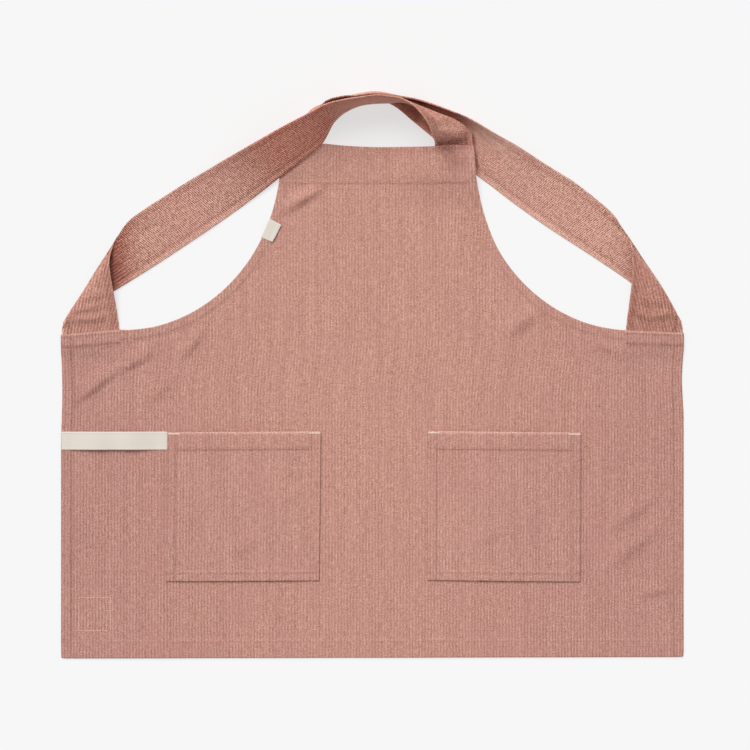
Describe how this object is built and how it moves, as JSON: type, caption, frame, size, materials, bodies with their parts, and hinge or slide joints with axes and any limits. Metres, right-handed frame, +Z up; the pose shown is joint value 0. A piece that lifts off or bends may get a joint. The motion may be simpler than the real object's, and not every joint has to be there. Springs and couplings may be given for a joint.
{
  "type": "smock apron",
  "caption": "Cross-back smock apron of ribbed cotton, lying flat: bib, wide straps crossed behind the neck, patch pockets and a tape loop for a towel.",
  "frame": {"origin": "middle of the bounding box, on the surface that the apron lies on", "axes": "+X across the apron to the right as seen, +Y from the hem towards the neck, +Z up from the surface"},
  "size_m": [0.8802, 0.7934, 0.0621],
  "materials": {
    "ribbed_cotton": "matte, fine upright ribs",
    "ecru_tape": "matte twill"
  },
  "bodies": {
    "root": {"body_panel": "ribbed_cotton", "strap_left": "ribbed_cotton", "strap_right": "ribbed_cotton", "pocket_left": "ribbed_cotton", "pocket_right": "ribbed_cotton", "towel_loop": "ecru_tape", "label_tag": "ecru_tape"}
  },
  "joints": []
}
